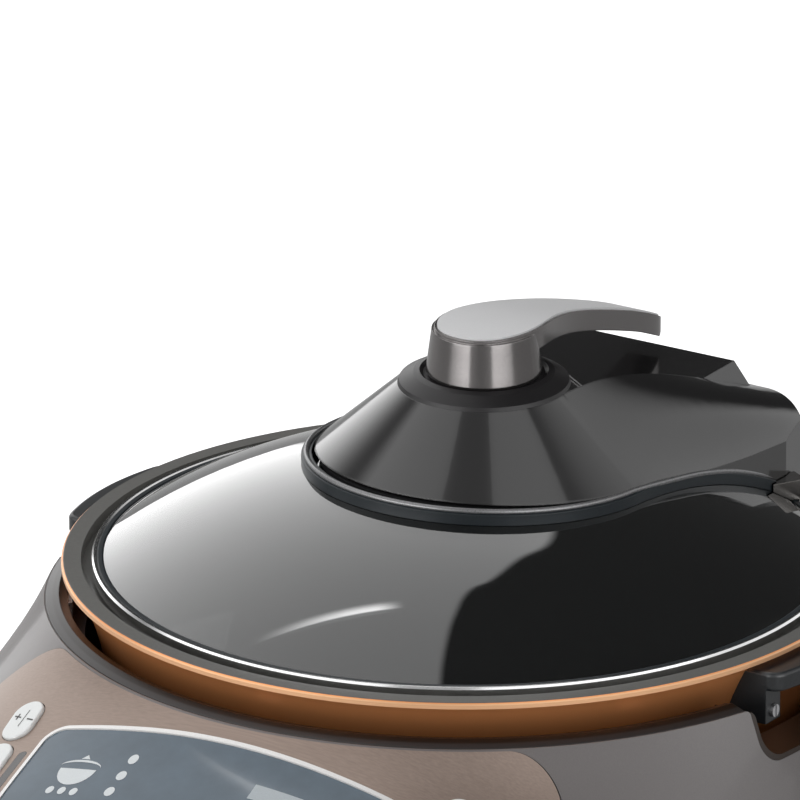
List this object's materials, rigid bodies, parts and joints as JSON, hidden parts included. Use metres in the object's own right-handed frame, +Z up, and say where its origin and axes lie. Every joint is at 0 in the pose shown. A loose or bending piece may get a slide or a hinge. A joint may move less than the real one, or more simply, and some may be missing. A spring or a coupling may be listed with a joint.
{
  "type": "countertop cooker",
  "caption": "Countertop cooker with a lift-out pot under a hinged domed glass lid, a lever knob on a moulded lid fairing, and a sloping control panel.",
  "frame": {"origin": "centre of the bounding box's bottom face, on the surface that the feet stand on", "axes": "+X to the right, +Y to the back where the lid hinge is, +Z up"},
  "size_m": [0.3824, 0.4775, 0.2852],
  "materials": {
    "body_gloss": "gloss grey-brown moulded plastic",
    "panel_metal": "brushed rose-brown metal insert",
    "frame_silver": "pale satin metal border",
    "display_glass": "blue-grey display window",
    "lens_dark": "dark gloss indicator lens",
    "dark_plastic": "dark grey gloss plastic",
    "well_dark": "dark brown painted steel",
    "pot_copper": "copper-coloured outside, dark grey coated inside and flange",
    "handle_black": "black heat-proof plastic",
    "screw_steel": "plain steel",
    "cast_aluminium": "cast",
    "black_plastic": "black moulded plastic",
    "foot_rubber": "soft rubber",
    "board_green": "circuit board",
    "lid_glass": "clear toughened glass",
    "seal_rubber": "blue-black silicone",
    "band_chrome": "bright rolled steel",
    "fairing_gloss": "gloss dark grey moulding",
    "clip_chrome": "bright edges, dark inside",
    "hinge_metal": "dark grey cast metal",
    "collar_black": "satin black",
    "knob_gunmetal": "dark satin metal",
    "plate_silver": "pale satin metal",
    "button_white": "white gloss plastic"
  },
  "bodies": {
    "root": {"body_shell": "body_gloss", "front_panel": "panel_metal", "display_frame": "frame_silver", "display_window": "display_glass", "panel_lens": "lens_dark", "well_ring": "dark_plastic", "well_liner": "well_dark", "rim_clips": "screw_steel", "pocket_right": "well_dark", "pocket_left": "well_dark", "pot": "pot_copper", "pot_handle_right": "handle_black", "pot_handle_left": "handle_black", "pot_handle_screws": "screw_steel", "hinge_housing": "dark_plastic", "hinge_pin": "screw_steel", "hinge_screws": "screw_steel", "heating_plate": "cast_aluminium", "heating_element": "screw_steel", "plate_posts": "screw_steel", "sensor_spring": "screw_steel", "base_plate": "black_plastic", "feet": "foot_rubber", "base_screws": "screw_steel", "mains_inlet": "black_plastic", "power_board": "board_green", "control_board": "board_green"},
    "lid": {"lid_glass": "lid_glass", "lid_seal": "seal_rubber", "lid_band": "band_chrome", "lid_fairing": "fairing_gloss", "fairing_trim": "seal_rubber", "fairing_clip_right": "clip_chrome", "fairing_clip_left": "clip_chrome", "lid_carrier": "black_plastic", "clamp_plate": "screw_steel", "clamp_screws": "screw_steel", "hinge_arm": "hinge_metal", "knob_collar": "collar_black", "knob_lever": "knob_gunmetal", "lever_top_plate": "plate_silver", "knob_bolt": "screw_steel"},
    "sensor": {"sensor_plunger": "cast_aluminium"},
    "button_right_upper_key": {"button_right_upper": "button_white"},
    "button_right_lower_key": {"button_right_lower": "button_white"},
    "button_left_upper_key": {"button_left_upper": "button_white"},
    "button_left_lower_key": {"button_left_lower": "button_white"}
  },
  "joints": [
    {"name": "lid_hinge", "type": "hinge", "parent": "root", "child": "lid", "pos_m": [0, 0.2245, 0.182], "axis": [-1, 0, 0], "range_deg": [0, 92]},
    {"name": "sensor_press", "type": "slide", "parent": "root", "child": "sensor", "axis": [0, 0, 1], "range_m": [-0.0015, 0], "stiffness_N_per_m": 300, "springref_m": 0.001},
    {"name": "button_right_upper_press", "type": "slide", "parent": "root", "child": "button_right_upper_key", "axis": [0.2941, -0.3816, 0.8763], "range_m": [-0.0012, 0], "stiffness_N_per_m": 400, "springref_m": 0.0006},
    {"name": "button_right_lower_press", "type": "slide", "parent": "root", "child": "button_right_lower_key", "axis": [0.2831, -0.3685, 0.8855], "range_m": [-0.0012, 0], "stiffness_N_per_m": 400, "springref_m": 0.0006},
    {"name": "button_left_upper_press", "type": "slide", "parent": "root", "child": "button_left_upper_key", "axis": [-0.2941, -0.3816, 0.8763], "range_m": [-0.0012, 0], "stiffness_N_per_m": 400, "springref_m": 0.0006},
    {"name": "button_left_lower_press", "type": "slide", "parent": "root", "child": "button_left_lower_key", "axis": [-0.2831, -0.3685, 0.8855], "range_m": [-0.0012, 0], "stiffness_N_per_m": 400, "springref_m": 0.0006}
  ]
}
